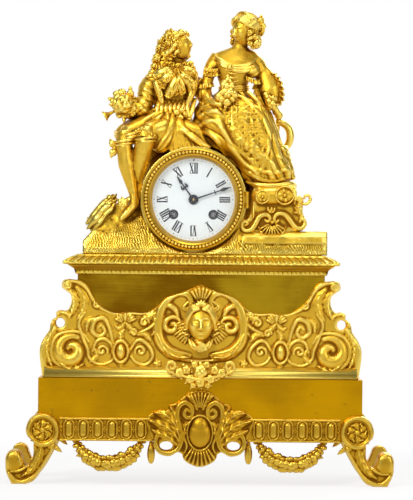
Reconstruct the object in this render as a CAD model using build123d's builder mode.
from build123d import *
import math
import os

os.makedirs("parts", exist_ok=True)

# Seated parts are aligned from their lower face
LOW = (Align.CENTER, Align.CENTER, Align.MIN)
HIGH = (Align.CENTER, Align.CENTER, Align.MAX)

# Fits
run_clear = 0.05
slip_clear = 0.2
air = 0.4

# Case heights, each measured from the piece below it
foot_rise = 43.5
plinth_height = 62.5
body_height = 103.5
cornice_height = 20.5
dial_rise = 55.0

# Case widths and depths
plinth_width = 323.0
plinth_depth = 127.0
body_width = 247.4
body_depth = 95.0
wall = 2.5
dial_x = -8.5

plinth_bottom = foot_rise
plinth_top = plinth_bottom + plinth_height
body_top = plinth_top + body_height
cornice_top = body_top + cornice_height
dial_z = cornice_top + dial_rise
plinth_front = -plinth_depth / 2
body_front = -body_depth / 2

# Feet
foot_lap = 6.0
foot_depth = 26.0
rosette_x = 156.5
rosette_z = 54.0
rosette_r = 17.0
rosette_boss_r = 11.5
rosette_boss = 2.0
toe_x = 185.0
toe_z = 25.5
toe_r = 8.5

# Apron ornament
band_height = 23.5
band_thick = 3.0
band_inner = 57.0
band_outer = 136.0
flute_width = 6.0
flute_height = 16.0
flute_relief = 1.2
flute_pitch = 15.2
flute_count = 5
cartouche_thick = 3.5
cartouche_boss_r = 15.0
cartouche_boss = 4.5
garland_y = plinth_front + 5.0
garland_r = 6.0
garland_x = 91.0
garland_half = 33.0
garland_drop = 24.5
pendant_x = 48.5
pendant_length = 24.0
pendant_r = 3.0

# Frieze ornament
frieze_thick = 6.0
frieze_sill = 12.0
frieze_sill_thick = 15.0
volute_x = 131.0
volute_z = 26.5
volute_r = 17.5
volute_relief = 3.0
boss_x = 79.8
boss_z = 26.5
boss_r = 9.0
boss_relief = 4.0
mask_z = 53.0
mask_half_width = 17.0
mask_half_height = 24.0
mask_relief = 14.0
rose_relief = 7.0

# Cornice courses: height above the body and reach beyond its faces
bead_course = (4.5, 2.5)
fillet_course = (10.0, 9.0)
leaf_course = ((10.0, 14.75), (14.5, 11.5), (18.3, 4.0), (20.5, -4.0))
cornice_plate = 4.5

# Tie rods
rod_x = 95.0
rod_r = 2.5
rod_tail = 12.0
rod_grip = 12.0
nut_r = 5.0
nut_thick = 4.0

# Ground
ground_half = 119.0
ground_back = 44.0
ground_front = -38.0
toe_front = -46.0
slab_right = 126.0
slab_height = 24.0
seat_rise = 60.0
surround_r = 50.0
seat_z = dial_z + seat_rise

# Drum, dial and bezel, along the depth
drum_r = 46.0
drum_wall = 1.5
drum_front = -38.0
drum_back = 50.0
drum_bore = drum_r - drum_wall
dial_r = 43.5
dial_thick = 2.0
sight_r = 41.4
ring_thick = 2.0
bezel_r = 51.0
bezel_lip_r = 44.0
bezel_back = drum_front - ring_thick - air
bezel_deep = 9.2
glass_r = 46.0
glass_thick = 1.6
glass_set = 3.6
hub_hole_r = 3.4
wind_hole_r = 4.9
wind_x = 20.0
wind_z = -15.0
hinge_reach = 2.4
knuckle_r = 2.0
knuckle_half = 3.0
knuckle_long = 5.0
pin_r = 0.8
door_r = 47.5
door_thick = 1.6
rear_ring_r = 49.0
rear_ring_thick = 3.0

# Movement levels along the depth, front face first
front_plate_at = (-27.0, -25.0)
back_plate_at = (14.0, 16.0)
barrel_at = (-22.0, -4.0)
great_at = (-4.0, -2.4)
second_pinion_at = (-5.2, -1.4)
second_wheel_at = (1.0, 2.2)
strike_wheel_at = (11.5, 12.7)
strike_pinion_at = (10.6, 13.5)
centre_pinion_at = (0.0, 3.2)
centre_wheel_at = (5.0, 6.2)
third_pinion_at = (4.0, 7.2)
third_wheel_at = (9.0, 10.0)
escape_pinion_at = (8.0, 11.0)
escape_wheel_at = (-14.0, -13.0)
pin_wheel_at = (-8.0, -7.0)
lock_pinion_at = (-9.0, -6.0)
lock_wheel_at = (-19.0, -18.0)
fly_pinion_at = (-20.0, -17.0)
fly_vane_at = (-11.0, 6.0)
ratchet_at = (-29.4, -27.4)
minute_wheel_at = (-30.0, -28.6)
cannon_pinion_at = (-31.0, -28.0)
hour_wheel_at = (-33.5, -32.3)
minute_pinion_at = (-34.0, -31.6)
hour_hand_at = (-39.6, -38.8)
minute_hand_at = (-41.4, -40.6)
hand_nut_at = (-42.9, -41.4)
crutch_at = (17.5, 18.7)
pendulum_y = 24.0

# Movement sizes
back_plate_r = 42.0
pillar_r = 2.6
pillar_ring = 38.0
arbor_r = 1.2
pivot_r = 0.7
fine_arbor_r = 0.55
fine_pivot_r = 0.4
barrel_r = 16.0
barrel_wall = 1.5
barrel_arbor_r = 3.0
barrel_pivot_r = 2.2
barrel_hub_r = 5.0
square_side = 3.4
square_end = -37.2
spring_strip = 0.5
spring_pitch = 1.3
spring_turns = 6
ratchet_r = 7.5
ratchet_teeth = 24
click_swing = 11.5
stud_r = 1.0
cannon_r = 2.1
hour_pipe_bore = cannon_r + run_clear * 2
hour_pipe_r = 2.9
regulator_r = 0.8
regulator_z = 39.5

# Train counts and modules
great_teeth = 84
second_leaves = 12
great_module = 0.407
second_teeth = 80
centre_leaves = 10
second_module = 0.36
centre_teeth = 84
third_leaves = 7
centre_module = 0.30
third_teeth = 84
escape_leaves = 7
third_module = 0.27
escape_teeth = 33
escape_r = 7.5
cannon_leaves = 12
minute_teeth = 36
minute_module = 0.50
minute_leaves = 10
hour_teeth = 40
hour_module = 0.48
pin_teeth = 72
pin_module = 0.30
lock_leaves = 7
lock_teeth = 60
lock_module = 0.26
fly_leaves = 7
fly_reach = 4.0

# Pendulum and bell
pallet_rise = 10.4
pallet_clear = 0.8
pendulum_length = 142.6
rod_wire_r = 0.9
bob_r = 18.0
bob_thick = 8.0
swing_room = 12.0
bell_r = 27.0
bell_mouth = 29.0
bell_crown = 44.0
bell_wall = 1.5
hammer_x = -33.5
hammer_z = 8.0


def facing(x, y, z):
    # A plane looking out of the clock's front, with its own up along the clock's up
    return Plane(origin=(x, y, z), x_dir=(1, 0, 0), z_dir=(0, -1, 0))


def write(piece, name):
    piece.part.label = name
    export_step(piece.part, f"parts/{name}.step")


def cap(x, z, seat, radius, height):
    # A shallow round boss standing on a front-facing seat
    bulge = (radius * radius + height * height) / (2 * height)
    with BuildPart() as piece:
        with BuildSketch(Plane(origin=(x, seat, z), x_dir=(1, 0, 0), z_dir=(0, 0, 1))):
            with BuildLine():
                Line((0, 0), (radius, 0))
                RadiusArc((radius, 0), (0, -height), bulge)
                Line((0, -height), (0, 0))
            make_face()
        revolve(axis=Axis((x, seat, z), (0, 1, 0)))
    return piece.part


def rod(x, z, front, back, radius):
    # A round bar along the depth
    with BuildPart() as piece:
        with BuildSketch(facing(x, back, z)):
            Circle(radius)
        extrude(amount=back - front)
    return piece.part


def limb(*joints):
    # Tapered lengths between round joints; each joint is a point and a radius
    with BuildPart() as piece:
        for (start, start_r), (end, end_r) in zip(joints, joints[1:]):
            run = Vector(*end) - Vector(*start)
            with Locations(Plane(origin=start, z_dir=run)):
                Cone(start_r, end_r, run.length, align=LOW)
        for point, radius in joints:
            with Locations(point):
                Sphere(radius * 1.04)
    return piece.part


def lofted(*sections):
    # A body through level ellipses; each section is a centre, a half width and a half depth
    with BuildPart() as piece:
        for centre, half_width, half_depth in sections:
            with BuildSketch(Plane(origin=centre)):
                Ellipse(half_width, half_depth)
        loft()
    return piece.part


# Feet
toe_flat = 14.0
foot_front = plinth_front - foot_lap


def foot_outline():
    with BuildSketch() as outline:
        with BuildLine():
            Spline((rosette_x - rosette_r, rosette_z - 6), (rosette_x - 8, 30), (rosette_x + 6, 6),
                   (toe_x - toe_flat + 2, 0))
            Line((toe_x - toe_flat + 2, 0), (toe_x + 2, 0))
            ThreePointArc((toe_x + 2, 0), (toe_x + toe_r - 0.6, 12), (toe_x + toe_r, toe_z))
            ThreePointArc((toe_x + toe_r, toe_z), (toe_x, toe_z + toe_r), (toe_x - toe_r, toe_z))
            Spline((toe_x - toe_r, toe_z), (toe_x - 12.5, toe_z - 7), (toe_x - 19, toe_z + 2),
                   (rosette_x + 9, rosette_z - 12))
            Line((rosette_x + 9, rosette_z - 12), (rosette_x - rosette_r, rosette_z - 6))
        make_face()
        with Locations((rosette_x, rosette_z)):
            Circle(rosette_r)
    return outline.sketch


with BuildPart() as front_feet:
    with BuildSketch(facing(0, plinth_front, 0)):
        add(foot_outline())
    extrude(amount=foot_lap)
    with BuildSketch(facing(0, foot_front + foot_depth, 0)):
        add(foot_outline())
        with Locations((rosette_x, 0)):
            Rectangle(4 * rosette_r, 2 * plinth_bottom, mode=Mode.INTERSECT)
    extrude(amount=foot_depth)
    add(cap(rosette_x, rosette_z, foot_front, rosette_boss_r, rosette_boss))
    mirror(about=Plane.YZ)
write(front_feet, "front_feet")

with BuildPart() as rear_feet:
    mirror(front_feet.part, about=Plane.XZ)
write(rear_feet, "rear_feet")

# Lower plinth, a shell open below
with BuildPart() as lower_plinth:
    with Locations((0, 0, plinth_bottom)):
        Box(plinth_width, plinth_depth, plinth_height, align=LOW)
        Box(plinth_width - 2 * wall, plinth_depth - 2 * wall, plinth_height - wall, align=LOW,
            mode=Mode.SUBTRACT)
    with Locations((-rod_x, 0, plinth_top), (rod_x, 0, plinth_top)):
        Cylinder(rod_r + slip_clear, 2 * wall, align=HIGH, mode=Mode.SUBTRACT)
write(lower_plinth, "lower_plinth")

# Apron band, a length on each side of the cartouche
with BuildPart() as apron_band:
    with BuildSketch(facing((band_inner + band_outer) / 2, plinth_front, plinth_bottom)):
        Rectangle(band_outer - band_inner, band_height, align=(Align.CENTER, Align.MIN))
    extrude(amount=band_thick)
    with BuildSketch(facing((band_inner + band_outer) / 2, plinth_front - band_thick,
                            plinth_bottom + band_height / 2)):
        with GridLocations(flute_pitch, 1, flute_count, 1):
            SlotOverall(flute_height, flute_width, rotation=90)
    extrude(amount=flute_relief)
    mirror(about=Plane.YZ)
write(apron_band, "apron_band")

# Apron cartouche
cartouche_half = ((0, 95), (11, 92), (17, 83), (19, 75), (36, 75), (51, 69), (54, 58), (47, 50), (30, 46),
                  (22, 36), (12, 24), (0, 18))
cartouche_z = 58.0
with BuildPart() as apron_cartouche:
    with BuildSketch(facing(0, plinth_front, 0)):
        with BuildLine():
            Spline(*cartouche_half)
            mirror(about=Plane.YZ)
        make_face()
    extrude(amount=cartouche_thick)
    add(cap(0, cartouche_z, plinth_front - cartouche_thick, cartouche_boss_r, cartouche_boss))
    add(cap(0, cartouche_z + 25, plinth_front - cartouche_thick, 10.0, 3.5))
    add(cap(-37, cartouche_z + 3, plinth_front - cartouche_thick, 10.0, 3.5))
    add(cap(37, cartouche_z + 3, plinth_front - cartouche_thick, 10.0, 3.5))
write(apron_cartouche, "apron_cartouche")

# Garlands hung under the plinth
with BuildPart() as garlands:
    with BuildLine() as swag:
        ThreePointArc((garland_x - garland_half, garland_y, plinth_bottom + 1),
                      (garland_x, garland_y, plinth_bottom - garland_drop),
                      (garland_x + garland_half, garland_y, plinth_bottom + 1))
    with BuildSketch(Plane(origin=swag.line @ 0, z_dir=swag.line % 0)):
        Circle(garland_r)
    sweep(path=swag.line)
    with Locations((garland_x, garland_y, plinth_bottom)):
        Box(4 * garland_half, 4 * garland_r, 4 * garland_r, align=LOW, mode=Mode.SUBTRACT)
    mirror(about=Plane.YZ)
write(garlands, "garlands")

# Pendant drops
with BuildPart() as pendant_drops:
    with Locations((pendant_x, plinth_front + pendant_r, plinth_bottom)):
        Cone(pendant_r * 0.55, pendant_r, pendant_length - pendant_r, align=HIGH)
    with Locations((pendant_x, plinth_front + pendant_r, plinth_bottom - pendant_length + pendant_r)):
        Sphere(pendant_r * 1.03)
    mirror(about=Plane.YZ)
write(pendant_drops, "pendant_drops")

# Upper body, a rectangular tube
with BuildPart() as upper_body:
    with BuildSketch(Plane.XY.offset(plinth_top)):
        Rectangle(body_width, body_depth)
        Rectangle(body_width - 2 * wall, body_depth - 2 * wall, mode=Mode.SUBTRACT)
    extrude(amount=body_height)
write(upper_body, "upper_body")

# Scroll frieze, standing on the plinth against the body
frieze_front = body_front - frieze_thick
ear_top = (132, 98.5)
frieze_crest = (ear_top, (116, 95), (104, 76), (88, 65.5), (72, 66), (55, 65.5), (44, 71.5), (34, 81),
                (14, 88), (0, 94.5))

# Main scrolls of its right half: points above the plinth and a radius
frieze_scrolls = ((((131, 95), (122, 94.5), (113, 87.5), (104, 73), (94, 66), (85, 63.5), (77, 64.5)), 2.8),
                  (((74, 64.5), (65, 63), (56.5, 64.5), (46, 69.5), (37, 78), (22, 84.5)), 2.8),
                  (((147, 51), (153, 42), (156.5, 30), (156.5, 16)), 3.8),
                  (((116, 65), (123.5, 52.7), (120.5, 37), (113, 19.5), (101.5, 13.5), (90.5, 16)), 2.0),
                  (((87, 32), (91.5, 50.5), (97, 59), (105.5, 57), (108, 47.5), (101.5, 42)), 2.4),
                  (((40, 60), (44.5, 50.5), (41, 37), (31, 28), (24, 25.5)), 4.2),
                  (((70, 29), (64.5, 37), (57, 37), (50, 30), (48.5, 21.5), (54.7, 14), (64, 15.5)), 2.0),
                  (((43, 66), (36, 74.5), (27, 80)), 3.8))
with BuildPart() as scrolls:
    for points, radius in frieze_scrolls:
        with BuildLine() as run:
            Spline(*[(x, frieze_front, plinth_top + z) for x, z in points])
        with BuildSketch(Plane(origin=run.line @ 0, z_dir=run.line % 0)):
            Circle(radius)
        sweep(path=run.line)
        with Locations(run.line @ 0, run.line @ 1):
            Sphere(radius * 1.04)
    mirror(about=Plane.YZ)
with BuildPart() as scroll_frieze:
    with BuildSketch(facing(0, body_front, plinth_top)):
        with BuildLine():
            Line((0, 0), (158, 0))
            Spline((158, 0), (161, 25), (153, 47), (139, 60))
            Spline((139, 60), (131, 69), (129.5, 82), (134, 86))
            ThreePointArc((134, 86), (139.5, 92), ear_top)
            Spline(*frieze_crest)
            mirror(about=Plane.YZ)
        make_face()
    extrude(amount=frieze_thick)
    with Locations((0, body_front, plinth_top)):
        Box(2 * 156, frieze_sill_thick, frieze_sill, align=(Align.CENTER, Align.MAX, Align.MIN))
    with BuildSketch(facing(0, frieze_front, plinth_top + volute_z)):
        with Locations((-volute_x, 0), (volute_x, 0)):
            Circle(volute_r)
            Circle(volute_r - 4, mode=Mode.SUBTRACT)
    extrude(amount=volute_relief)
    for side in (-1, 1):
        add(cap(side * volute_x, plinth_top + volute_z, frieze_front, 6.0, 3.0))
        add(cap(side * boss_x, plinth_top + boss_z, frieze_front, boss_r, boss_relief))
    add(scrolls.part)
write(scroll_frieze, "scroll_frieze")

# Frieze mask
mask_slices = ((0.0, 1.0), (0.45, 0.95), (0.8, 0.72), (1.0, 0.3))
with BuildPart() as frieze_mask:
    for reach, share in mask_slices:
        with BuildSketch(facing(0, frieze_front - reach * mask_relief, plinth_top + mask_z)):
            Ellipse(mask_half_width * share, mask_half_height * share)
    loft()
write(frieze_mask, "frieze_mask")

# Flower drop on the plinth front, rising in front of the frieze sill
with BuildPart() as flower_drop:
    for x, z, radius in ((0, 6, 12), (-19, 3, 10), (19, 3, 10), (-29, 6, 6), (29, 6, 6), (0, -4, 6)):
        add(cap(x, plinth_top + z, plinth_front, radius, rose_relief * min(1.0, radius / 10)))
write(flower_drop, "flower_drop")


# Cornice
def course(low, low_out, high, high_out):
    with BuildPart() as piece:
        with BuildSketch(Plane.XY.offset(body_top + low)):
            Rectangle(body_width + 2 * low_out, body_depth + 2 * low_out)
        with BuildSketch(Plane.XY.offset(body_top + high)):
            Rectangle(body_width + 2 * high_out, body_depth + 2 * high_out)
        loft()
    return piece.part


with BuildPart() as cornice:
    add(course(0, bead_course[1], bead_course[0], bead_course[1]))
    add(course(bead_course[0], bead_course[1] + 1, fillet_course[0], fillet_course[1]))
    for (low, low_out), (high, high_out) in zip(leaf_course, leaf_course[1:]):
        add(course(low, low_out, high, high_out))
    with Locations((0, 0, body_top)):
        Box(body_width - 2 * wall, body_depth - 2 * wall, cornice_height - cornice_plate, align=LOW,
            mode=Mode.SUBTRACT)
    with Locations((dial_x, pendulum_y, cornice_top)):
        Box(2 * swing_room, 10, 3 * cornice_plate, mode=Mode.SUBTRACT)
    with Locations((-rod_x, 0, cornice_top), (rod_x, 0, cornice_top)):
        Cylinder(rod_r + slip_clear, 3 * cornice_plate, mode=Mode.SUBTRACT)
write(cornice, "cornice")

# Tie rods with their nuts, from the ground down through the plinth top
with BuildPart() as tie_rods:
    with Locations((-rod_x, 0, plinth_top - wall - rod_tail), (rod_x, 0, plinth_top - wall - rod_tail)):
        Cylinder(rod_r, cornice_top + rod_grip - plinth_top + wall + rod_tail, align=LOW)
    with BuildSketch(Plane.XY.offset(plinth_top - wall - nut_thick)):
        with Locations((-rod_x, 0), (rod_x, 0)):
            RegularPolygon(nut_r, 6)
    extrude(amount=nut_thick)
write(tie_rods, "tie_rods")

# Rocky ground with the drum's surround and the seat behind the figures
with BuildPart() as rocky_ground:
    with BuildSketch(facing(0, ground_back, cornice_top)):
        Polygon((-ground_half, 0), (-ground_half, 14), (-106, 24), (-88, 40), (-66, 56), (-60, 62),
                (surround_r + dial_x, 62), (surround_r + dial_x, slab_height), (slab_right, slab_height),
                (slab_right, 0))
    extrude(amount=ground_back - ground_front)
    with BuildSketch(facing(0, ground_back - 4, cornice_top)):
        Polygon((-60, 60), (-56, dial_rise + seat_rise), (46, dial_rise + seat_rise), (48, 60))
    extrude(amount=ground_back - 4 + 12)
    with BuildSketch(facing(dial_x, ground_back, dial_z)):
        Circle(surround_r)
    extrude(amount=ground_back - ground_front)
    with BuildSketch(Plane.YZ.offset(-ground_half + 4)):
        Polygon((ground_front, cornice_top), (toe_front, cornice_top), (toe_front, cornice_top + 4),
                (ground_front, cornice_top + 20))
    extrude(amount=ground_half + slab_right - 8)
    with BuildSketch(facing(dial_x, ground_front, dial_z)):
        Circle(bezel_r + 2)
        with Locations((bezel_r + hinge_reach, 0)):
            Rectangle(4 * knuckle_r, 8 * knuckle_half)
    extrude(amount=20, mode=Mode.SUBTRACT)
    with BuildSketch(facing(dial_x, drum_back, dial_z)):
        Circle(drum_r + run_clear)
    extrude(amount=drum_back - drum_front + 20, mode=Mode.SUBTRACT)
    with Locations((dial_x, pendulum_y, cornice_top)):
        Box(2 * swing_room, 14, dial_rise, align=LOW, mode=Mode.SUBTRACT)
    with Locations((-rod_x, 0, cornice_top), (rod_x, 0, cornice_top)):
        Cylinder(rod_r, 2 * rod_grip, mode=Mode.SUBTRACT)
write(rocky_ground, "rocky_ground")

# Scroll bench on the slab: shell bracket, rosette apron, chair arm
slab_top = cornice_top + slab_height
bench_left = 50.0
bench_right = 106.0
bracket_height = 23.0
apron_height = 22.0
bench_front = -36.0
bench_back = 36.0
arm_x = 82.0
arm_y = 12.0
arm_z = 97.0
arm_ring = 8.4
arm_r = 3.2
arm_post_r = 4.4
hand_rest = (76.5, arm_y - 1, slab_top + 119.3)
with BuildPart() as chair_arm:
    with BuildLine(facing(arm_x, arm_y, slab_top + arm_z)) as arm_curve:
        CenterArc((0, 0), arm_ring, 60, 330)
    with BuildSketch(Plane(origin=arm_curve.line @ 0, z_dir=arm_curve.line % 0)):
        Circle(arm_r)
    sweep(path=arm_curve.line)
    add(limb(((arm_x - 7, arm_y + 8, slab_top + bracket_height + apron_height - 4), arm_post_r),
             ((arm_x - 8, arm_y + 6, slab_top + arm_z - 16), arm_post_r - 0.4),
             ((arm_x - arm_ring, arm_y + 2, slab_top + arm_z - 3), arm_r + 0.4)))
    add(limb(((arm_x - 3.5, arm_y, slab_top + arm_z + arm_ring - 1), arm_r - 0.6), (hand_rest, arm_post_r)))
with BuildPart() as scroll_bench:
    with BuildSketch(facing(0, bench_back, slab_top)):
        with BuildLine():
            Line((bench_left, 0), (bench_right, 0))
            ThreePointArc((bench_right, 0), (bench_right - 8, bracket_height / 2),
                          (bench_right, bracket_height))
            Line((bench_right, bracket_height), (bench_left, bracket_height))
            ThreePointArc((bench_left, bracket_height), (bench_left + 4, bracket_height / 2),
                          (bench_left, 0))
        make_face()
        with Locations(((bench_left + bench_right) / 2 - 2, bracket_height)):
            Rectangle(48, apron_height, align=(Align.CENTER, Align.MIN))
        with Locations((bench_right - 4, bracket_height + 7)):
            Circle(9)
    extrude(amount=bench_back - bench_front)
    add(chair_arm.part)
    for x, radius in ((61, 6.5), (84, 9.0)):
        add(cap(x, slab_top + bracket_height + 10, bench_front, radius, 3.0))
    add(cap(76, slab_top + 11, bench_front, 10.0, 4.0))
write(scroll_bench, "scroll_bench")


# Seated woman, placed from her seat
def by_woman(x, y, z):
    return (dial_x + 50.5 + x, y, seat_z + z)


# Skirt sections from the hem up: middle, height, half width and half depth
skirt_sections = ((24.8, -17, -45.2, 17.2, 15), (23.8, -16, -26.9, 25.8, 21.5), (16.7, -14, -17.8, 28.4, 24),
                  (0.5, -11, -2.6, 37, 26.5), (-8.6, -8, 13.6, 40.5, 28), (-11.7, -6, 29.8, 37.5, 25.3),
                  (-12.7, -3, 39.9, 31.4, 20.3), (-6.6, 1, 49, 17.2, 13.7), (-5.6, 2, 55.1, 14.4, 11.7))

# Main folds of the open overskirt and its hem, as places on the skirt's front and a radius
skirt_folds = ((((-44, 13), (-30, 17.6), (-15.7, -0.6), (2.5, -24.5), (14, -33)), 3.0),
               (((-43, 7.5), (-27, -0.6), (-10, -13), (6, -30)), 2.8),
               (((14, 38), (18, 30), (22, 16), (25, 0), (21, -16)), 2.8),
               (((21.7, 26.8), (27.8, 9.5), (32.9, -5.7), (34.9, -17.8)), 3.0),
               (((5, -32), (16.7, -39), (31, -41), (44, -36)), 2.4))


def on_skirt(x, z):
    # A point on the skirt's front, between the sections below and above it
    for low, high in zip(skirt_sections, skirt_sections[1:]):
        if low[2] <= z <= high[2]:
            share = (z - low[2]) / (high[2] - low[2])
            middle, depth, _, half_width, half_depth = (a + share * (b - a) for a, b in zip(low, high))
    across = min(0.95, abs(x - middle) / half_width)
    return by_woman(x, depth - half_depth * math.sqrt(1 - across**2) + 1.0, z)


with BuildPart() as woman_figure:
    add(lofted(*[(by_woman(*section[:3]), *section[3:]) for section in skirt_sections]))
    for places, radius in skirt_folds:
        add(limb(*[(on_skirt(x, z), radius - 0.15 * step) for step, (x, z) in enumerate(places)]))
    add(limb((by_woman(39, -21, -9), 5.0), (by_woman(46, -17, -33), 6.0)))
    add(lofted((by_woman(-5.6, 2, 45), 15.7, 12.7), (by_woman(-6.6, 0, 62), 16.7, 12.8),
               (by_woman(-7.6, -1.5, 71), 19.8, 14.2), (by_woman(-7.6, 0, 81.5), 23.3, 12.2),
               (by_woman(-6.6, 1.5, 89), 21, 10), (by_woman(-5, 1.5, 95), 11, 8.2)))
    add(limb((by_woman(-4.5, 1, 92), 7.2), (by_woman(-1.5, -0.5, 106), 6.6)))
    with Locations(by_woman(0, -3, 114.4)):
        Sphere(14.6)
    with Locations(by_woman(1.5, 1, 117.5)):
        Sphere(15.0)
    add(limb((by_woman(15, 3, 117), 8.0), (by_woman(12.5, 2, 102), 7.5), (by_woman(12, 1, 92), 6.0)))
    with Locations(by_woman(11, -5, 73.5)):
        Sphere(7.6)
    add(limb((by_woman(14, 1, 80), 7.4), (by_woman(24.8, -1, 63), 9.4), (by_woman(27, -2, 51), 12.0),
             (by_woman(27.8, -5, 40), 9.5), (by_woman(31, -10, 34), 4.0)))
    add(limb((by_woman(-31, 0, 80), 8.4), (by_woman(-38, -4, 62), 6.4), (by_woman(-39.5, -8.5, 48.5), 7.4),
             (by_woman(-30, -22, 38), 4.8), (by_woman(-20, -26, 39), 4.0)))
    with Locations(by_woman(-18, -27, 46)):
        Sphere(9.5)
    add(rocky_ground.part, mode=Mode.SUBTRACT)
    add(scroll_bench.part, mode=Mode.SUBTRACT)
write(woman_figure, "woman_figure")


# Seated man, placed from his seat
def by_man(x, y, z):
    return (dial_x - 20.5 + x, y, seat_z + z)


with BuildPart() as man_figure:
    add(lofted((by_man(-16.7, -9, -2.6), 40, 24), (by_man(-17.7, -7, 13.6), 37.5, 23),
               (by_man(-11.6, -3, 22.7), 28.4, 18.7), (by_man(-4.5, 1, 31), 18.7, 14.2),
               (by_man(-2.5, 2, 38), 17, 13.2)))
    add(lofted((by_man(-2.5, 2, 33), 16.6, 13), (by_man(-1, 2, 51), 22.3, 14.2),
               (by_man(0, 2, 59), 25.3, 13.7), (by_man(0.6, 2.5, 65), 24.3, 11.6),
               (by_man(1.6, 2, 71), 14.2, 9)))
    add(limb((by_man(3, 2, 68), 8.0), (by_man(3.5, 0, 86), 7.4)))
    with Locations(by_man(3, -3, 98.7)):
        Sphere(14.2)
    add(limb((by_man(-4, 4, 101), 13.2), (by_man(-13.5, 5, 82), 11.5), (by_man(-16, 3, 66), 8.0)))
    add(limb((by_man(-19.7, 3, 61), 8.9), (by_man(-29.8, -1, 40), 8.6), (by_man(-43, -14, 31), 6.4)))
    with Locations(by_man(-50, -16, 36.4)):
        Sphere(14.0)
    add(limb((by_man(20.8, 4, 60), 9.0), (by_man(34, 8, 38), 6.5)))
    add(limb((by_man(-9.6, -3, 12), 13.6), (by_man(-49, -29, 2.5), 10.0), (by_man(-46, -34, -28), 8.0),
             (by_man(-40, -36, -56), 4.4), (by_man(-42, -38, -66), 4.8), (by_man(-52, -42, -79.6), 3.6)))
    add(limb((by_man(4.6, -8, 10), 13.6), (by_man(-27.8, -31.5, 4.5), 10.2), (by_man(-30.3, -31.5, -31), 7.6),
             (by_man(-35, -28.5, -48), 5.0)))
    with Locations(by_man(-11, -25, 0)):
        Sphere(12.5)
    add(limb((by_man(6, -20, 22), 6.2), (by_man(22, -26, 5), 5.8), (by_man(31, -26, -3.5), 4.0)))
    add(rocky_ground.part, mode=Mode.SUBTRACT)
    add(woman_figure.part, mode=Mode.SUBTRACT)
write(man_figure, "man_figure")


# Drum
with BuildPart() as movement_drum:
    with BuildSketch(facing(dial_x, drum_back, dial_z)):
        Circle(drum_r)
        Circle(drum_bore, mode=Mode.SUBTRACT)
    extrude(amount=drum_back - drum_front)
    with Locations((dial_x, pendulum_y, dial_z - drum_r)):
        Box(2 * swing_room - 4, 12, 20, mode=Mode.SUBTRACT)
write(movement_drum, "movement_drum")


# Hinges: knuckles stand on a vertical pin at the clock's right
def knuckle(x, y, low, high, bore):
    with BuildPart() as piece:
        with Locations((x, y, dial_z + low)):
            Cylinder(knuckle_r, high - low, align=LOW)
            Cylinder(bore, high - low, align=LOW, mode=Mode.SUBTRACT)
    return piece.part


def leaf(inner, outer, front, back, low, high):
    # The flat tongue between a ring and its knuckle
    with BuildPart() as piece:
        with Locations((dial_x + inner, front, dial_z + low)):
            Box(outer - inner, back - front, high - low, align=(Align.MIN, Align.MIN, Align.MIN))
    return piece.part


hinge_x = bezel_r + hinge_reach
hinge_y = bezel_back - knuckle_r
door_hinge_x = rear_ring_r + hinge_reach
door_hinge_y = drum_back + rear_ring_thick + knuckle_r - 0.8
knuckle_gap = 0.25

# Dial ring, seated on the drum's front edge
with BuildPart() as dial_ring:
    with BuildSketch(facing(dial_x, drum_front, dial_z)):
        Circle(drum_r)
        Circle(sight_r, mode=Mode.SUBTRACT)
    extrude(amount=ring_thick)
    for low in (knuckle_half + knuckle_gap, -knuckle_half - knuckle_gap - knuckle_long):
        add(leaf(sight_r + 2, hinge_x, drum_front - ring_thick, drum_front - slip_clear, low,
                 low + knuckle_long))
        add(leaf(bezel_r + 0.5, hinge_x, hinge_y, drum_front - slip_clear, low, low + knuckle_long))
        add(knuckle(dial_x + hinge_x, hinge_y, low, low + knuckle_long, pin_r))
    for low in (knuckle_half + knuckle_gap, -knuckle_half - knuckle_gap - knuckle_long):
        with Locations((dial_x + hinge_x, hinge_y, dial_z + low)):
            Cylinder(pin_r, knuckle_long, align=LOW, mode=Mode.SUBTRACT)
write(dial_ring, "dial_ring")

# Bezel with its hinge knuckle
bezel_front = bezel_back - bezel_deep
bezel_rebate = bezel_front + glass_set
with BuildPart() as bezel:
    with BuildSketch(Plane(origin=(dial_x, 0, dial_z), x_dir=(1, 0, 0), z_dir=(0, 0, 1))):
        Polygon((bezel_lip_r, bezel_rebate), (bezel_lip_r, bezel_front + 2.0), (45.6, bezel_front + 0.6),
                (46.0, bezel_front + 1.2), (49.4, bezel_front + 1.2), (49.8, bezel_front),
                (bezel_r, bezel_front + 0.8), (bezel_r, bezel_back), (glass_r + slip_clear, bezel_back),
                (glass_r + slip_clear, bezel_rebate))
    revolve(axis=Axis((dial_x, 0, dial_z), (0, 1, 0)))
    add(leaf(glass_r + 2, hinge_x, hinge_y - knuckle_r, hinge_y, -knuckle_half, knuckle_half))
    add(knuckle(dial_x + hinge_x, hinge_y, -knuckle_half, knuckle_half, pin_r + run_clear))
    with Locations((dial_x + hinge_x, hinge_y, dial_z)):
        Cylinder(pin_r + run_clear, 4 * knuckle_half, mode=Mode.SUBTRACT)
write(bezel, "bezel")

with BuildPart() as bezel_glass:
    with BuildSketch(facing(dial_x, bezel_rebate + glass_thick, dial_z)):
        Circle(glass_r)
    extrude(amount=glass_thick)
write(bezel_glass, "bezel_glass")

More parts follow.
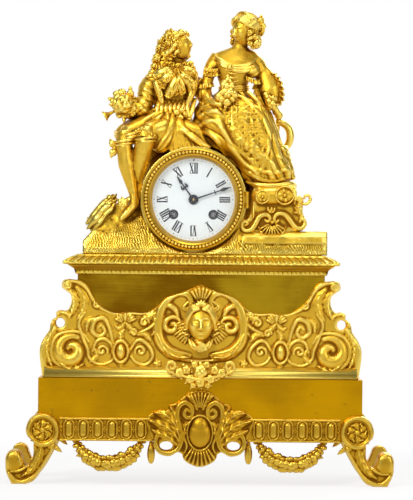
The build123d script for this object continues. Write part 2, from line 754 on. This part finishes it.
# Rear ring and back door
rear_ring_back = drum_back + rear_ring_thick
with BuildPart() as rear_ring:
    with BuildSketch(facing(dial_x, rear_ring_back, dial_z)):
        Circle(rear_ring_r)
        Circle(drum_bore - 1, mode=Mode.SUBTRACT)
    extrude(amount=rear_ring_thick)
    for low in (knuckle_half + knuckle_gap, -knuckle_half - knuckle_gap - knuckle_long):
        add(leaf(rear_ring_r - 2, door_hinge_x, drum_back, rear_ring_back, low, low + knuckle_long))
        add(knuckle(dial_x + door_hinge_x, door_hinge_y, low, low + knuckle_long, pin_r))
    for low in (knuckle_half + knuckle_gap, -knuckle_half - knuckle_gap - knuckle_long):
        with Locations((dial_x + door_hinge_x, door_hinge_y, dial_z + low)):
            Cylinder(pin_r, knuckle_long, align=LOW, mode=Mode.SUBTRACT)
write(rear_ring, "rear_ring")

door_front = rear_ring_back + air
with BuildPart() as back_door:
    with BuildSketch(facing(dial_x, door_front + door_thick, dial_z)):
        Circle(door_r)
    extrude(amount=door_thick)
    with BuildSketch(facing(dial_x - door_r + 7, door_front + door_thick + 5, dial_z)):
        Circle(2.5)
    extrude(amount=5)
    add(leaf(door_r - 2, door_hinge_x, door_front, door_front + door_thick, -knuckle_half, knuckle_half))
    add(knuckle(dial_x + door_hinge_x, door_hinge_y, -knuckle_half, knuckle_half, pin_r + run_clear))
    with Locations((dial_x + door_hinge_x, door_hinge_y, dial_z)):
        Cylinder(pin_r + run_clear, 4 * knuckle_half, mode=Mode.SUBTRACT)
write(back_door, "back_door")

pin_length = 2 * (knuckle_half + knuckle_gap + knuckle_long)
with BuildPart() as hinge_pins:
    with Locations((dial_x + hinge_x, hinge_y, dial_z), (dial_x + door_hinge_x, door_hinge_y, dial_z)):
        Cylinder(pin_r, pin_length)
write(hinge_pins, "hinge_pins")

# Enamel dial with its feet
dial_back = drum_front + dial_thick
with BuildPart() as enamel_dial:
    with BuildSketch(facing(dial_x, dial_back, dial_z)):
        Circle(dial_r)
        Circle(hub_hole_r, mode=Mode.SUBTRACT)
        with Locations((-wind_x, wind_z), (wind_x, wind_z)):
            Circle(wind_hole_r, mode=Mode.SUBTRACT)
        with Locations((0, regulator_z)):
            Circle(regulator_r + slip_clear, mode=Mode.SUBTRACT)
    extrude(amount=dial_thick)
    with BuildSketch(facing(dial_x, front_plate_at[0], dial_z)):
        with PolarLocations(38, 3, start_angle=30):
            Circle(1.5)
    extrude(amount=front_plate_at[0] - dial_back)
write(enamel_dial, "enamel_dial")


# Toothed wheels; half thicknesses are shares of the tooth pitch at root, pitch line and tip
def tooth_ring(teeth, module, phase, addendum, widths):
    pitch_r = teeth * module / 2
    step = 2 * math.pi / teeth
    root, line, tip = widths
    shape = ((pitch_r - 1.25 * module, -root), (pitch_r, -line), (pitch_r + addendum * module, -tip),
             (pitch_r + addendum * module, tip), (pitch_r, line), (pitch_r - 1.25 * module, root))
    points = []
    for index in range(teeth):
        for radius, share in shape:
            angle = phase + (index + share) * step
            points.append((radius * math.cos(angle), radius * math.sin(angle)))
    return points


def wheel(x, z, level, teeth, module, phase=0.0, arms=4, hub=2.6, rim=1.6):
    pitch_r = teeth * module / 2
    with BuildPart() as piece:
        with BuildSketch(facing(dial_x + x, level[1], dial_z + z)):
            Polygon(*tooth_ring(teeth, module, phase, 0.85, (0.26, 0.19, 0.09)))
            if arms:
                Circle(pitch_r - rim - module, mode=Mode.SUBTRACT)
                Circle(hub)
                with PolarLocations(pitch_r / 2, arms):
                    Rectangle(pitch_r - rim, 1.4)
        extrude(amount=level[1] - level[0])
    return piece.part


def pinion(x, z, level, leaves, module, phase=0.0):
    with BuildPart() as piece:
        with BuildSketch(facing(dial_x + x, level[1], dial_z + z)):
            Polygon(*tooth_ring(leaves, module, phase, 0.75, (0.13, 0.15, 0.09)))
        extrude(amount=level[1] - level[0])
    return piece.part


def arbor(x, z, thick, pivot, front=front_plate_at[0], back=back_plate_at[1]):
    # A turning shaft between the plates with a pivot in each
    with BuildPart() as piece:
        add(rod(dial_x + x, dial_z + z, front_plate_at[1] + air, back_plate_at[0] - air, thick))
        add(rod(dial_x + x, dial_z + z, front, back, pivot))
    return piece.part


def facing_angle(start, end):
    return math.atan2(end[1] - start[1], end[0] - start[0])


def gap_phase(start, end, leaves):
    # Turns a pinion so that a space between leaves meets the wheel's tooth
    return facing_angle(start, end) + math.pi + math.pi / leaves


def step_from(start, reach, degrees):
    angle = math.radians(degrees)
    return (start[0] + reach * math.cos(angle), start[1] + reach * math.sin(angle))


def across(near, near_reach, far, far_reach):
    # The upper point at given distances from two others
    span = math.dist(near, far)
    along = (near_reach ** 2 - far_reach ** 2 + span ** 2) / (2 * span)
    lift = math.sqrt(near_reach ** 2 - along ** 2)
    ux, uz = (far[0] - near[0]) / span, (far[1] - near[1]) / span
    side = 1 if ux > 0 else -1
    return (near[0] + along * ux - side * lift * uz, near[1] + along * uz + side * lift * ux)


# Arbor places seen from the front, measured from the dial's centre
centre_at = (0.0, 0.0)
going_at = (wind_x, wind_z)
strike_at = (-wind_x, wind_z)
great_reach = (great_teeth + second_leaves) * great_module / 2
second_reach = (second_teeth + centre_leaves) * second_module / 2
second_at = across(centre_at, second_reach, going_at, great_reach)
strike_second_at = (-second_at[0], second_at[1])
third_at = (0.0, (centre_teeth + third_leaves) * centre_module / 2)
escape_at = (0.0, third_at[1] + (third_teeth + escape_leaves) * third_module / 2)
pallet_at = (0.0, escape_at[1] + pallet_rise)
pin_at = step_from(strike_second_at, second_reach, 110)
lock_at = step_from(pin_at, (pin_teeth + lock_leaves) * pin_module / 2, 60)
fly_at = step_from(lock_at, (lock_teeth + fly_leaves) * lock_module / 2, 40)
minute_at = (0.0, -(cannon_leaves + minute_teeth) * minute_module / 2)
hammer_at = (hammer_x, hammer_z)
going_click_at = step_from(going_at, click_swing, 60)
strike_click_at = (-going_click_at[0], going_click_at[1])
post_at = (14.0, -34.0)

# Plates and pillars
coarse_arbors = (second_at, strike_second_at, pin_at, hammer_at)
fine_arbors = (third_at, escape_at, pallet_at, lock_at, fly_at)


def pivot_holes(barrel_hole):
    with BuildSketch() as holes:
        with Locations(*coarse_arbors):
            Circle(pivot_r + run_clear)
        with Locations(*fine_arbors):
            Circle(fine_pivot_r + run_clear)
        with Locations(going_at, strike_at):
            Circle(barrel_hole + run_clear)
        with Locations(centre_at):
            Circle(arbor_r + run_clear)
        with Locations((0, regulator_z)):
            Circle(regulator_r + run_clear)
    return holes.sketch


with BuildPart() as front_plate:
    with BuildSketch(facing(dial_x, front_plate_at[1], dial_z)):
        Circle(drum_bore - 0.1)
        add(pivot_holes(barrel_arbor_r), mode=Mode.SUBTRACT)
    extrude(amount=front_plate_at[1] - front_plate_at[0])
    with BuildSketch(facing(dial_x, front_plate_at[0], dial_z)):
        with Locations(going_click_at, strike_click_at):
            Circle(stud_r)
    extrude(amount=front_plate_at[0] - ratchet_at[0] + 0.4)
    with BuildSketch(facing(dial_x, front_plate_at[0], dial_z)):
        with Locations(minute_at):
            Circle(stud_r)
    extrude(amount=front_plate_at[0] - minute_pinion_at[0] + 0.4)
write(front_plate, "front_plate")

with BuildPart() as back_plate:
    with BuildSketch(facing(dial_x, back_plate_at[1], dial_z)):
        Circle(back_plate_r)
        add(pivot_holes(barrel_pivot_r), mode=Mode.SUBTRACT)
    extrude(amount=back_plate_at[1] - back_plate_at[0])
write(back_plate, "back_plate")

with BuildPart() as pillars:
    with BuildSketch(facing(dial_x, back_plate_at[0], dial_z)):
        for degrees in (0, 54, 180, 270):
            with Locations(step_from(centre_at, pillar_ring, degrees)):
                Circle(pillar_r)
    extrude(amount=back_plate_at[0] - front_plate_at[1])
write(pillars, "pillars")


# Barrels, their arbors, springs and clicks
def barrel(place, partner):
    x, z = dial_x + place[0], dial_z + place[1]
    with BuildPart() as piece:
        with BuildSketch(facing(x, barrel_at[1], z)):
            Circle(barrel_r)
        extrude(amount=barrel_at[1] - barrel_at[0])
        add(wheel(place[0], place[1], great_at, great_teeth, great_module, facing_angle(place, partner),
                  arms=0))
        with BuildSketch(facing(x, barrel_at[1] - barrel_wall, z)):
            Circle(barrel_r - barrel_wall)
        extrude(amount=barrel_at[1] - barrel_at[0] - 2 * barrel_wall, mode=Mode.SUBTRACT)
        with BuildSketch(facing(x, great_at[1], z)):
            Circle(barrel_arbor_r + run_clear)
        extrude(amount=great_at[1] - barrel_at[0], mode=Mode.SUBTRACT)
    return piece


def barrel_arbor(place, side):
    x, z = dial_x + place[0], dial_z + place[1]
    step = 2 * math.pi / ratchet_teeth
    saw = []
    for index in range(ratchet_teeth):
        angle = side * index * step
        saw.append((ratchet_r * math.cos(angle), ratchet_r * math.sin(angle)))
        saw.append(((ratchet_r - 1.1) * math.cos(angle), (ratchet_r - 1.1) * math.sin(angle)))
    with BuildPart() as piece:
        add(rod(x, z, ratchet_at[1], back_plate_at[0] - air, barrel_arbor_r))
        add(rod(x, z, back_plate_at[0] - air, back_plate_at[1], barrel_pivot_r))
        add(rod(x, z, barrel_at[0] + barrel_wall + air, barrel_at[1] - barrel_wall - air, barrel_hub_r))
        with BuildSketch(facing(x, ratchet_at[1], z)):
            Polygon(*saw)
        extrude(amount=ratchet_at[1] - ratchet_at[0])
        with BuildSketch(facing(x, ratchet_at[0], z)):
            Rectangle(square_side, square_side)
        extrude(amount=ratchet_at[0] - square_end)
    return piece


def mainspring(place):
    # A flat strip wound in half turns outward from the arbor's hub
    x, z = dial_x + place[0], dial_z + place[1]
    start = barrel_hub_r + air
    half = spring_pitch / 2
    with BuildPart() as piece:
        with BuildSketch(facing(x, barrel_at[1] - barrel_wall - air, z)):
            for index in range(2 * spring_turns):
                inner = start + index * half
                side = 1 if index % 2 == 0 else -1
                here, there = side * inner, -side * (inner + half)
                with BuildLine():
                    ThreePointArc((here, 0), ((here + there) / 2, side * (inner + half / 2)), (there, 0))
                    Line((there, 0), (there - side * spring_strip, 0))
                    ThreePointArc((there - side * spring_strip, 0),
                                  ((here + there) / 2, side * (inner + half / 2 + spring_strip)),
                                  (here + side * spring_strip, 0))
                    Line((here + side * spring_strip, 0), (here, 0))
                make_face()
        extrude(amount=barrel_at[1] - barrel_at[0] - 2 * (barrel_wall + air))
    return piece


def click(place, ratchet, side):
    x, z = dial_x + place[0], dial_z + place[1]
    tip = step_from(ratchet, ratchet_r + air, 90 - side * 70)
    tip_x, tip_z = tip[0] - place[0], tip[1] - place[1]
    with BuildPart() as piece:
        with BuildSketch(facing(x, ratchet_at[1], z)):
            Polygon((-side * 1.6, 1.0), (-side * 0.4, -2.2), (tip_x, tip_z),
                    (tip_x + side * 1.2, tip_z + 0.6),
                    (side * 2.0, -1.0))
            Circle(stud_r + 1.2)
            Circle(stud_r + run_clear, mode=Mode.SUBTRACT)
        extrude(amount=ratchet_at[1] - ratchet_at[0])
    return piece


going_barrel = barrel(going_at, second_at)
write(going_barrel, "going_barrel")
strike_barrel = barrel(strike_at, strike_second_at)
write(strike_barrel, "strike_barrel")
going_arbor = barrel_arbor(going_at, 1)
write(going_arbor, "going_arbor")
strike_arbor = barrel_arbor(strike_at, -1)
write(strike_arbor, "strike_arbor")
going_mainspring = mainspring(going_at)
write(going_mainspring, "going_mainspring")
strike_mainspring = mainspring(strike_at)
write(strike_mainspring, "strike_mainspring")
going_click = click(going_click_at, going_at, 1)
write(going_click, "going_click")
strike_click = click(strike_click_at, strike_at, -1)
write(strike_click, "strike_click")


# Going train
def second_wheel(place, driver, driven, level):
    with BuildPart() as piece:
        add(arbor(place[0], place[1], arbor_r, pivot_r))
        add(pinion(place[0], place[1], second_pinion_at, second_leaves, great_module,
                   gap_phase(driver, place, second_leaves)))
        add(wheel(place[0], place[1], level, second_teeth, second_module, facing_angle(place, driven)))
    return piece


going_second = second_wheel(second_at, going_at, centre_at, second_wheel_at)
write(going_second, "going_second_wheel")

with BuildPart() as centre_wheel:
    add(rod(dial_x, dial_z, hand_nut_at[0] - 0.4, back_plate_at[1], arbor_r))
    add(pinion(0, 0, centre_pinion_at, centre_leaves, second_module,
               gap_phase(second_at, centre_at, centre_leaves)))
    add(wheel(0, 0, centre_wheel_at, centre_teeth, centre_module, facing_angle(centre_at, third_at)))
write(centre_wheel, "centre_wheel")

with BuildPart() as third_wheel:
    add(arbor(third_at[0], third_at[1], fine_arbor_r, fine_pivot_r))
    add(pinion(third_at[0], third_at[1], third_pinion_at, third_leaves, centre_module,
               gap_phase(centre_at, third_at, third_leaves)))
    add(wheel(third_at[0], third_at[1], third_wheel_at, third_teeth, third_module,
              facing_angle(third_at, escape_at), hub=1.8))
write(third_wheel, "third_wheel")

escape_points = []
for index in range(escape_teeth):
    for radius, share in ((escape_r - 1.3, 0.0), (escape_r, 0.42), (escape_r, 0.52), (escape_r - 1.3, 0.6)):
        angle = (index + share) * 2 * math.pi / escape_teeth
        escape_points.append((radius * math.cos(angle), radius * math.sin(angle)))
with BuildPart() as escape_wheel:
    add(arbor(escape_at[0], escape_at[1], fine_arbor_r, fine_pivot_r))
    add(pinion(escape_at[0], escape_at[1], escape_pinion_at, escape_leaves, third_module,
               gap_phase(third_at, escape_at, escape_leaves)))
    with BuildSketch(facing(dial_x + escape_at[0], escape_wheel_at[1], dial_z + escape_at[1])):
        Polygon(*escape_points)
        Circle(escape_r - 2.4, mode=Mode.SUBTRACT)
        Circle(1.8)
        with PolarLocations(escape_r / 2 - 0.6, 4):
            Rectangle(escape_r - 2, 0.9)
    extrude(amount=escape_wheel_at[1] - escape_wheel_at[0])
write(escape_wheel, "escape_wheel")

# Pallets with their arbor and crutch
pallet_r = escape_r + pallet_clear
tip_x = pallet_r * math.cos(math.radians(35))
tip_z = pallet_r * math.sin(math.radians(35)) - pallet_rise
crutch_foot = -30.0
with BuildPart() as pallets:
    add(arbor(pallet_at[0], pallet_at[1], fine_arbor_r, fine_pivot_r, back=crutch_at[1]))
    with BuildSketch(facing(dial_x + pallet_at[0], escape_wheel_at[1] + 0.5, dial_z + pallet_at[1])):
        Circle(1.8)
        Polygon((0, 1.4), (tip_x + 1.2, -2.2), (tip_x + 1.0, tip_z + 1.0), (tip_x, tip_z),
                (tip_x - 0.6, -3.0),
                (0, -1.4), (-tip_x + 0.6, -3.0), (-tip_x, tip_z), (-tip_x - 1.0, tip_z + 1.0),
                (-tip_x - 1.2, -2.2))
    extrude(amount=escape_wheel_at[1] - escape_wheel_at[0] + 1)
    with BuildSketch(facing(dial_x + pallet_at[0], crutch_at[1], dial_z + pallet_at[1])):
        Circle(1.5)
        Rectangle(1.6, -crutch_foot, align=(Align.CENTER, Align.MAX))
        with Locations((0, crutch_foot)):
            Rectangle(5.2, 2.0)
    extrude(amount=crutch_at[1] - crutch_at[0])
    with BuildSketch(facing(dial_x + pallet_at[0], pendulum_y + 2, dial_z + pallet_at[1])):
        with Locations((-2.0, crutch_foot), (2.0, crutch_foot)):
            Rectangle(1.2, 2.0)
    extrude(amount=pendulum_y + 2 - crutch_at[0])
write(pallets, "pallets")

# Motion work behind the dial
with BuildPart() as cannon_pinion:
    add(pinion(0, 0, cannon_pinion_at, cannon_leaves, minute_module,
               gap_phase(minute_at, centre_at, cannon_leaves)))
    add(rod(dial_x, dial_z, minute_hand_at[0], cannon_pinion_at[1], cannon_r))
    add(rod(dial_x, dial_z, minute_hand_at[0], cannon_pinion_at[1], arbor_r), mode=Mode.SUBTRACT)
write(cannon_pinion, "cannon_pinion")

with BuildPart() as minute_wheel:
    add(wheel(0, minute_at[1], minute_wheel_at, minute_teeth, minute_module,
              facing_angle(minute_at, centre_at)))
    add(pinion(0, minute_at[1], minute_pinion_at, minute_leaves, hour_module,
               gap_phase(centre_at, minute_at, minute_leaves)))
    add(rod(dial_x, dial_z + minute_at[1], minute_pinion_at[0], minute_wheel_at[1], stud_r + 0.7))
    add(rod(dial_x, dial_z + minute_at[1], minute_pinion_at[0], minute_wheel_at[1], stud_r + run_clear),
        mode=Mode.SUBTRACT)
write(minute_wheel, "minute_wheel")

with BuildPart() as hour_wheel:
    add(wheel(0, 0, hour_wheel_at, hour_teeth, hour_module, facing_angle(centre_at, minute_at), hub=4.0))
    add(rod(dial_x, dial_z, hour_hand_at[0], hour_wheel_at[1], hour_pipe_r))
    add(rod(dial_x, dial_z, hour_hand_at[0], hour_wheel_at[1], hour_pipe_bore), mode=Mode.SUBTRACT)
write(hour_wheel, "hour_wheel")

# Hands, drawn along their own length and turned to the hour shown
hour_turn = 36.3
minute_turn = -71.1
hand_hub_r = 5.0
with BuildPart() as hour_hand:
    with BuildSketch(facing(dial_x, hour_hand_at[1], dial_z)):
        with Locations(Location((0, 0, 0), (0, 0, hour_turn))):
            Polygon((-0.9, 3), (-0.6, 14), (-3.2, 13.4), (-4.0, 15.6), (-2.8, 18.4), (-1.6, 18.2),
                    (-2.4, 15.8),
                    (-0.6, 16), (-0.6, 19), (-1.8, 22), (0, 29), (1.8, 22), (0.6, 19), (0.6, 16),
                    (2.4, 15.8),
                    (1.6, 18.2), (2.8, 18.4), (4.0, 15.6), (3.2, 13.4), (0.6, 14), (0.9, 3))
        Circle(hand_hub_r)
        Circle(hour_pipe_r, mode=Mode.SUBTRACT)
    extrude(amount=hour_hand_at[1] - hour_hand_at[0])
write(hour_hand, "hour_hand")

with BuildPart() as minute_hand:
    with BuildSketch(facing(dial_x, minute_hand_at[1], dial_z)):
        with Locations(Location((0, 0, 0), (0, 0, minute_turn))):
            Polygon((-0.9, 2), (-0.6, 22.4), (-2.2, 22.4), (-2.2, 23.4), (-0.6, 23.4), (-0.6, 28),
                    (-1.9, 31.5),
                    (0, 40), (1.9, 31.5), (0.6, 28), (0.6, 23.4), (2.2, 23.4), (2.2, 22.4), (0.6, 22.4),
                    (0.9, 2))
        Circle(hand_hub_r - 1.4)
        Circle(cannon_r, mode=Mode.SUBTRACT)
    extrude(amount=minute_hand_at[1] - minute_hand_at[0])
write(minute_hand, "minute_hand")

with BuildPart() as hand_nut:
    with BuildSketch(facing(dial_x, hand_nut_at[1], dial_z)):
        Circle(2.8)
        Circle(arbor_r, mode=Mode.SUBTRACT)
    extrude(amount=hand_nut_at[1] - hand_nut_at[0])
write(hand_nut, "hand_nut")

# Strike train
strike_second = second_wheel(strike_second_at, strike_at, pin_at, strike_wheel_at)
write(strike_second, "strike_second_wheel")

with BuildPart() as pin_wheel:
    add(arbor(pin_at[0], pin_at[1], arbor_r, pivot_r))
    add(pinion(pin_at[0], pin_at[1], strike_pinion_at, centre_leaves, second_module,
               gap_phase(strike_second_at, pin_at, centre_leaves)))
    add(wheel(pin_at[0], pin_at[1], pin_wheel_at, pin_teeth, pin_module, facing_angle(pin_at, lock_at),
              rim=3.2))
    with BuildSketch(facing(dial_x + pin_at[0], pin_wheel_at[0], dial_z + pin_at[1])):
        with PolarLocations(8.5, 8):
            Circle(0.5)
    extrude(amount=2.5)
write(pin_wheel, "pin_wheel")

with BuildPart() as locking_wheel:
    add(arbor(lock_at[0], lock_at[1], fine_arbor_r, fine_pivot_r))
    add(pinion(lock_at[0], lock_at[1], lock_pinion_at, lock_leaves, pin_module,
               gap_phase(pin_at, lock_at, lock_leaves)))
    add(wheel(lock_at[0], lock_at[1], lock_wheel_at, lock_teeth, lock_module,
              facing_angle(lock_at, fly_at), hub=1.8))
write(locking_wheel, "locking_wheel")

with BuildPart() as fly:
    add(arbor(fly_at[0], fly_at[1], fine_arbor_r, fine_pivot_r))
    add(pinion(fly_at[0], fly_at[1], fly_pinion_at, fly_leaves, lock_module,
               gap_phase(lock_at, fly_at, fly_leaves)))
    with BuildSketch(facing(dial_x + fly_at[0], fly_vane_at[1], dial_z + fly_at[1])):
        Rectangle(2 * fly_reach, 0.5)
        Circle(1.1)
    extrude(amount=fly_vane_at[1] - fly_vane_at[0])
write(fly, "fly")

# Bell, its stand and the hammer
with BuildPart() as bell:
    with BuildSketch(Plane(origin=(dial_x, 0, dial_z), x_dir=(1, 0, 0), z_dir=(0, 0, 1))):
        with BuildLine():
            Line((1.6, bell_crown), (6, bell_crown))
            Spline((6, bell_crown), (18, bell_crown - 3), (bell_r - 2, bell_crown - 9),
                   (bell_r, bell_mouth))
            Line((bell_r, bell_mouth), (bell_r - bell_wall, bell_mouth))
            Spline((bell_r - bell_wall, bell_mouth), (bell_r - 3.6, bell_crown - 9.8),
                   (17.2, bell_crown - 4.4),
                   (6, bell_crown - bell_wall))
            Line((6, bell_crown - bell_wall), (1.6, bell_crown - bell_wall))
            Line((1.6, bell_crown - bell_wall), (1.6, bell_crown))
        make_face()
    revolve(axis=Axis((dial_x, 0, dial_z), (0, 1, 0)))
write(bell, "bell")

strap_thick = 2.0
strap_back = bell_crown + 3.0
post_turn = math.degrees(facing_angle(post_at, centre_at))
with BuildPart() as bell_stand:
    add(rod(dial_x + post_at[0], dial_z + post_at[1], back_plate_at[1], strap_back, 2.0))
    with BuildSketch(facing(dial_x, strap_back, dial_z)):
        with Locations(Location((post_at[0] / 2, post_at[1] / 2, 0), (0, 0, post_turn))):
            SlotCenterToCenter(math.dist(post_at, centre_at), 5.0)
    extrude(amount=strap_thick)
    add(rod(dial_x, dial_z, bell_crown, strap_back, 3.0))
    add(rod(dial_x, dial_z, bell_crown - bell_wall - 2, strap_back, 1.6))
    add(rod(dial_x, dial_z, bell_crown - bell_wall - 2, bell_crown - bell_wall, 3.2))
write(bell_stand, "bell_stand")

head_x = hammer_x - 2.5
head_z = hammer_z - 16.0
head_y = 33.0
with BuildPart() as hammer:
    add(arbor(hammer_x, hammer_z, arbor_r, pivot_r, back=crutch_at[1] + 2))
    with BuildSketch(facing(dial_x, crutch_at[1] + 2, dial_z)):
        with BuildLine():
            Polyline((hammer_x - 1.4, hammer_z + 1.5), (hammer_x + 1.4, hammer_z + 1.5),
                     (head_x + 1.4, head_z - 1.4),
                     (head_x - 1.4, head_z - 1.4), close=True)
        make_face()
    extrude(amount=2.4)
    add(rod(dial_x + head_x, dial_z + head_z, crutch_at[1], head_y + 3, 1.2))
    with Locations(Plane(origin=(dial_x + head_x - 3, head_y, dial_z + head_z), z_dir=(1, 0, 0))):
        Cylinder(3.0, 9.6, align=LOW)
    with BuildSketch(facing(dial_x, pin_wheel_at[0] - 0.6, dial_z)):
        with BuildLine():
            Polyline((hammer_x - 0.6, hammer_z - 0.9), (hammer_x + 5.0, hammer_z + 4.0),
                     (hammer_x + 4.4, hammer_z + 5.0),
                     (hammer_x - 1.2, hammer_z + 0.4), close=True)
        make_face()
    extrude(amount=1.4)
write(hammer, "hammer")

# Suspension and pendulum
cock_low = pallet_at[1] + air
cock_high = regulator_z + 2.4
with BuildPart() as suspension_cock:
    with BuildSketch(facing(dial_x, pendulum_y - 4, dial_z)):
        with Locations((0, cock_high)):
            Rectangle(11, cock_high - cock_low - 2.2, align=(Align.CENTER, Align.MAX))
    extrude(amount=pendulum_y - 4 - back_plate_at[1])
    with BuildSketch(facing(dial_x, pendulum_y + 4, dial_z)):
        with Locations((0, cock_high)):
            Rectangle(11, cock_high - cock_low, align=(Align.CENTER, Align.MAX))
    extrude(amount=8)
    with BuildSketch(facing(dial_x, pendulum_y + 4, dial_z)):
        with Locations((0, cock_low)):
            Rectangle(1.2, 7.2, align=(Align.CENTER, Align.CENTER))
    extrude(amount=8, mode=Mode.SUBTRACT)
    add(rod(dial_x, dial_z + regulator_z, back_plate_at[1], back_plate_at[1] + 3, regulator_r + run_clear),
        mode=Mode.SUBTRACT)
write(suspension_cock, "suspension_cock")

spring_low = pallet_at[1] - 6.0
with BuildPart() as suspension_spring:
    with Locations((dial_x, pendulum_y, dial_z + spring_low)):
        Box(0.2, 5.0, cock_low + 3.0 - spring_low, align=LOW)
write(suspension_spring, "suspension_spring")

bob_z = pallet_at[1] - pendulum_length
with BuildPart() as pendulum_rod:
    with Locations((dial_x, pendulum_y, dial_z + spring_low)):
        Box(2.0, 5.0, 4.0, align=HIGH)
        Cylinder(rod_wire_r, spring_low - bob_z + bob_r + 9, align=HIGH)
write(pendulum_rod, "pendulum_rod")

with BuildPart() as pendulum_bob:
    with BuildSketch(facing(dial_x, pendulum_y + bob_thick / 2, dial_z + bob_z)):
        Circle(bob_r)
    extrude(amount=bob_thick)
    fillet(pendulum_bob.edges().filter_by(GeomType.CIRCLE), bob_thick * 0.4)
    with Locations((dial_x, pendulum_y, dial_z + bob_z)):
        Cylinder(rod_wire_r, 3 * bob_r, mode=Mode.SUBTRACT)
write(pendulum_bob, "pendulum_bob")

with BuildPart() as rating_nut:
    with Locations((dial_x, pendulum_y, dial_z + bob_z - bob_r)):
        Cylinder(3.5, 3.0, align=HIGH)
        Cylinder(rod_wire_r, 3.0, align=HIGH, mode=Mode.SUBTRACT)
write(rating_nut, "rating_nut")

# Regulator arbor, reached from the front above the twelve
with BuildPart() as regulator_arbor:
    add(rod(dial_x, dial_z + regulator_z, drum_front - ring_thick + 1.2, back_plate_at[1] + 2.6,
            regulator_r))
write(regulator_arbor, "regulator_arbor")
